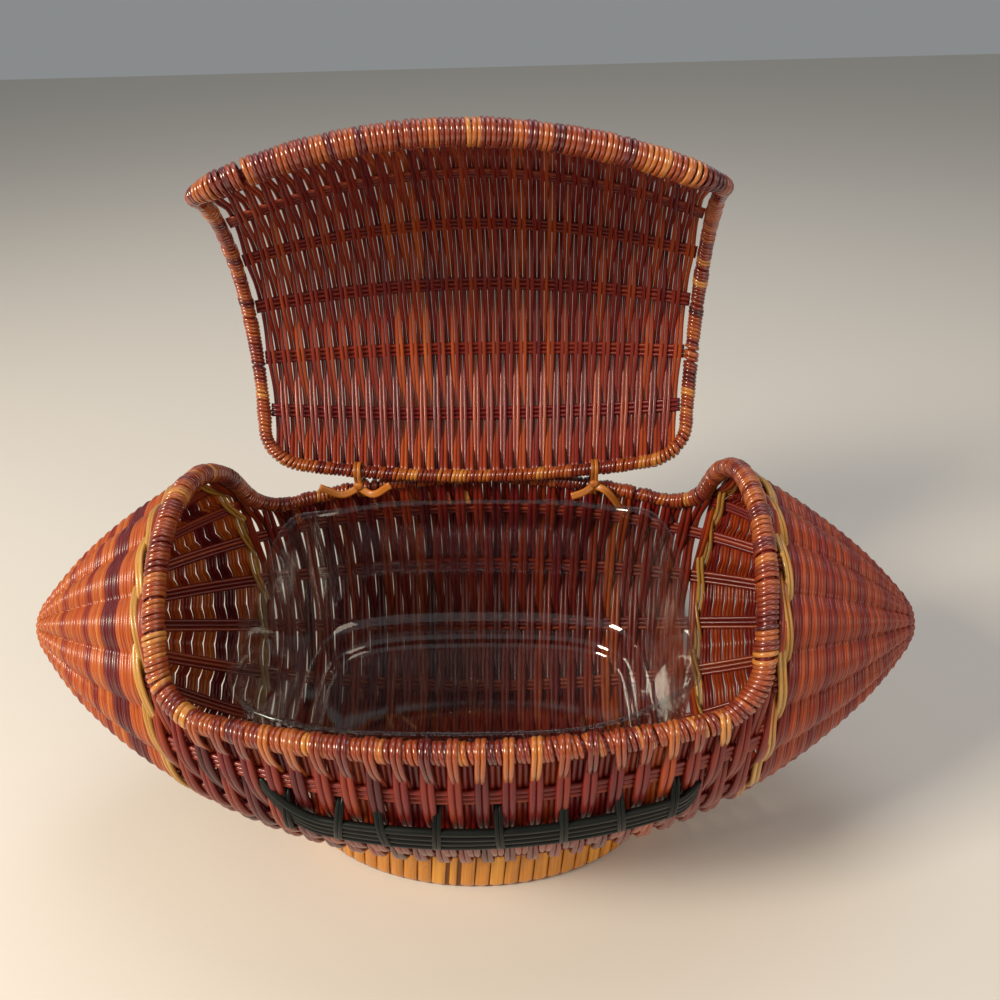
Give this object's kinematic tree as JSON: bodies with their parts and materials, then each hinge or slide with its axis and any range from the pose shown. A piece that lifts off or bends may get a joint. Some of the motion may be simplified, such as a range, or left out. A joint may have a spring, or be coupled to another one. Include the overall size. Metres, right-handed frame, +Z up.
{
  "type": "lidded wicker basket",
  "caption": "Long tapering wicker basket with rounded ends, a hinged woven lid, an oval foot ring, black lacing along the front and a loose clear liner.",
  "frame": {"origin": "on the floor, at the middle of the oval foot ring", "axes": "+X along the basket from its left tip to its right tip, -Y to the front with the laces, +Z up"},
  "size_m": [0.406, 0.243, 0.3212],
  "materials": {
    "reed_weave": "stained and varnished round reed, woven",
    "stake_reed": "stained round reed",
    "binding_reed": "varnished reed, wound close",
    "natural_reed": "natural reed, varnished",
    "black_reed": "black stained reed, varnished",
    "foot_cane": "flat yellow cane, glossy",
    "tie_cane": "flat cane",
    "clear_liner": "clear vacuum-formed plastic sheet, glossy"
  },
  "bodies": {
    "basket": {"left_end_weave": "reed_weave", "right_end_weave": "reed_weave", "middle_weave": "reed_weave", "lower_stakes": "stake_reed", "left_upper_stakes": "stake_reed", "right_upper_stakes": "stake_reed", "left_twined_band": "natural_reed", "right_twined_band": "natural_reed", "lace_reeds": "black_reed", "lace_straps": "black_reed", "foot_ring_core": "stake_reed", "foot_ring_winding": "foot_cane", "left_hinge_tie": "tie_cane", "right_hinge_tie": "tie_cane", "front_rim_core": "stake_reed", "front_rim_binding": "binding_reed", "right_hoop_core": "stake_reed", "right_hoop_binding": "binding_reed", "back_rim_core": "stake_reed", "back_rim_binding": "binding_reed", "left_hoop_core": "stake_reed", "left_hoop_binding": "binding_reed"},
    "lid": {"lid_weave": "reed_weave", "lid_stakes": "stake_reed", "lid_front_core": "stake_reed", "lid_front_binding": "binding_reed", "lid_right_core": "stake_reed", "lid_right_binding": "binding_reed", "lid_back_core": "stake_reed", "lid_back_binding": "binding_reed", "lid_left_core": "stake_reed", "lid_left_binding": "binding_reed"},
    "liner": {"liner": "clear_liner"}
  },
  "joints": [
    {"name": "lid_hinge", "type": "hinge", "parent": "basket", "child": "lid", "pos_m": [0, 0.087, 0.1405], "axis": [1, 0, 0], "range_deg": [0, 74.5]},
    {"name": "liner_lift", "type": "slide", "parent": "basket", "child": "liner", "axis": [0, -0.1736, 0.9848], "range_m": [0, 0.17]}
  ]
}
